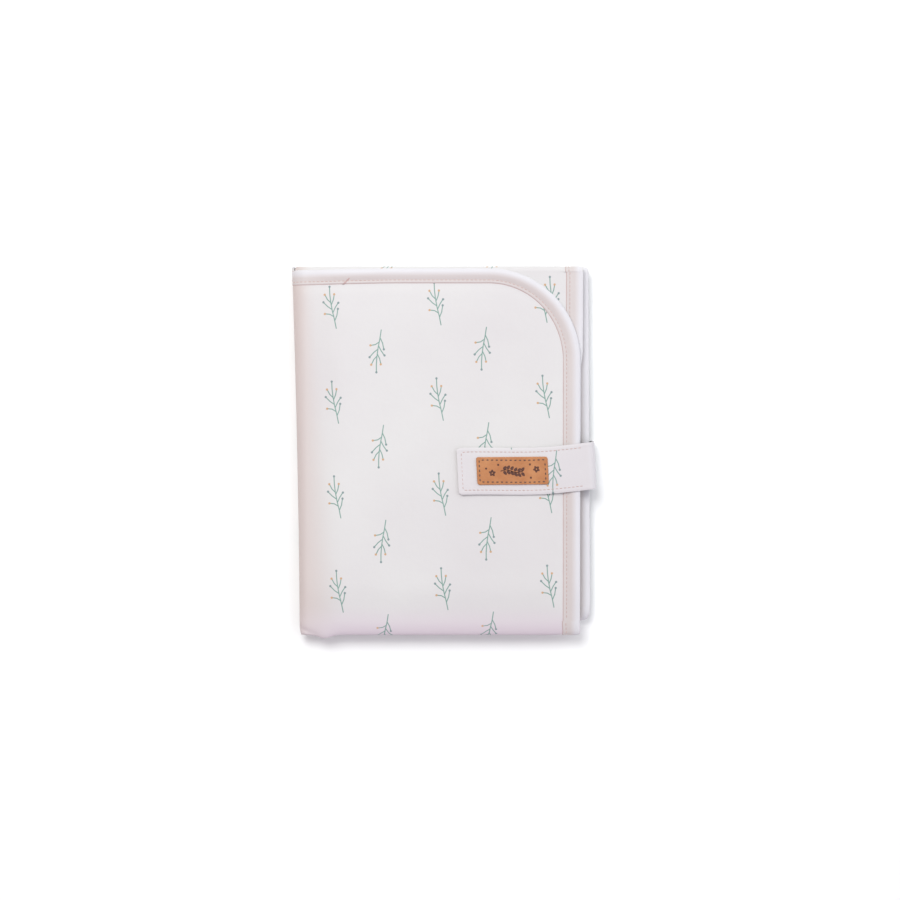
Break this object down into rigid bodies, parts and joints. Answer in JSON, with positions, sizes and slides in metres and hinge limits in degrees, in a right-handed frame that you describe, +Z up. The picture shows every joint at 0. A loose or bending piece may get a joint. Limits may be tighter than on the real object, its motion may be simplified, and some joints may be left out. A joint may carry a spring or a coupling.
{
  "type": "travel changing pad",
  "caption": "Folded padded travel changing pad with a bound edge and scattered sprig print, held shut by a tabbed strap with a small leather label.",
  "frame": {"origin": "under the middle of the folded pad, on the surface that it lies on", "axes": "+Z up through the folded layers, +Y along the spine fold towards the short flap's crease, +X from the spine to the strap"},
  "size_m": [0.2114, 0.259, 0.0227],
  "materials": {
    "cover_cloth": "wipe-clean printed cotton, pale with scattered sprigs",
    "lining_cloth": "plain wipe-clean cloth",
    "wadding": "soft fibre wadding",
    "binding_tape": "bias-cut cloth tape",
    "strap_cloth": "doubled printed cotton",
    "thread": "pale pink sewing thread",
    "hook_tape": "woven hook tape",
    "loop_tape": "brushed loop tape",
    "label_leather": "smooth tan leather"
  },
  "bodies": {
    "mid_back": {"back_middle_cover": "cover_cloth", "back_middle_wadding": "wadding", "back_middle_lining": "lining_cloth", "back_middle_binding": "binding_tape", "back_middle_seam": "thread", "middle_spine_fold": "cover_cloth", "back_bottom_fold": "cover_cloth", "back_top_fold": "cover_cloth"},
    "mid_front": {"front_middle_cover": "cover_cloth", "front_middle_wadding": "wadding", "front_middle_lining": "lining_cloth", "front_middle_binding": "binding_tape", "front_middle_seam": "thread", "front_bottom_fold": "cover_cloth", "front_top_fold": "cover_cloth"},
    "long_flap_back": {"back_long_flap_cover": "cover_cloth", "back_long_flap_wadding": "wadding", "back_long_flap_lining": "lining_cloth", "back_long_flap_binding": "binding_tape", "back_long_flap_seam": "thread", "long_flap_spine_fold": "cover_cloth", "strap_tail_outer": "strap_cloth", "strap_tail_lining": "strap_cloth", "strap_tail_stitching": "thread"},
    "short_flap_back": {"back_short_flap_cover": "cover_cloth", "back_short_flap_wadding": "wadding", "back_short_flap_lining": "lining_cloth", "back_short_flap_binding": "binding_tape", "back_short_flap_seam": "thread", "short_flap_spine_fold": "cover_cloth"},
    "long_flap_front": {"front_long_flap_cover": "cover_cloth", "front_long_flap_wadding": "wadding", "front_long_flap_lining": "lining_cloth", "front_long_flap_binding": "binding_tape", "front_long_flap_seam": "thread", "loop_tape": "loop_tape"},
    "short_flap_front": {"front_short_flap_cover": "cover_cloth", "front_short_flap_wadding": "wadding", "front_short_flap_lining": "lining_cloth", "front_short_flap_binding": "binding_tape", "front_short_flap_seam": "thread"},
    "strap_side": {"strap_bend_lining": "strap_cloth", "strap_bend_outer": "strap_cloth"},
    "strap_tab": {"strap_tab_lining": "strap_cloth", "strap_tab_outer": "strap_cloth", "strap_tab_stitching": "thread", "hook_tape": "hook_tape", "leather_label": "label_leather", "label_stitching": "thread"}
  },
  "joints": [
    {"name": "book_open", "type": "hinge", "parent": "mid_back", "child": "mid_front", "pos_m": [-0.10613, -0.0004, 0.01035], "axis": [0, -1, 0], "range_deg": [0, 180], "deforming": ["middle_spine_fold", "short_flap_spine_fold", "long_flap_spine_fold"]},
    {"name": "flap_open", "type": "hinge", "parent": "mid_front", "child": "long_flap_front", "pos_m": [-0.00613, -0.1299, 0.015], "axis": [1, 0, 0], "range_deg": [0, 180], "deforming": ["front_bottom_fold"]},
    {"name": "long_flap_back_open", "type": "hinge", "parent": "mid_back", "child": "long_flap_back", "pos_m": [-0.00613, -0.1282, 0.0051], "axis": [-1, 0, 0], "range_deg": [0, 180], "deforming": ["back_bottom_fold"]},
    {"name": "short_flap_front_open", "type": "hinge", "parent": "mid_front", "child": "short_flap_front", "pos_m": [-0.00613, 0.1296, 0.01345], "axis": [-1, 0, 0], "range_deg": [0, 180], "deforming": ["front_top_fold"]},
    {"name": "short_flap_back_open", "type": "hinge", "parent": "mid_back", "child": "short_flap_back", "pos_m": [-0.00613, 0.1296, 0.00725], "axis": [1, 0, 0], "range_deg": [0, 180], "deforming": ["back_top_fold"]},
    {"name": "strap_open", "type": "hinge", "parent": "long_flap_back", "child": "strap_side", "pos_m": [0.09887, -0.01, 0.0006], "axis": [-0.0523, 0.9986, 0], "range_deg": [0, 90], "deforming": ["strap_bend_lining", "strap_bend_outer"]},
    {"name": "strap_tab_open", "type": "hinge", "parent": "strap_side", "child": "strap_tab", "pos_m": [0.09887, -0.01, 0.0211], "axis": [-0.0523, 0.9986, 0], "range_deg": [0, 90], "deforming": ["strap_tab_lining", "strap_tab_outer", "strap_tab_stitching", "hook_tape", "leather_label", "label_stitching"]}
  ],
  "couplings": [
    {"joint": "long_flap_back_open", "follows": "flap_open", "ratio": 1},
    {"joint": "short_flap_front_open", "follows": "flap_open", "ratio": 1},
    {"joint": "short_flap_back_open", "follows": "flap_open", "ratio": 1},
    {"joint": "strap_tab_open", "follows": "strap_open", "ratio": 1}
  ]
}
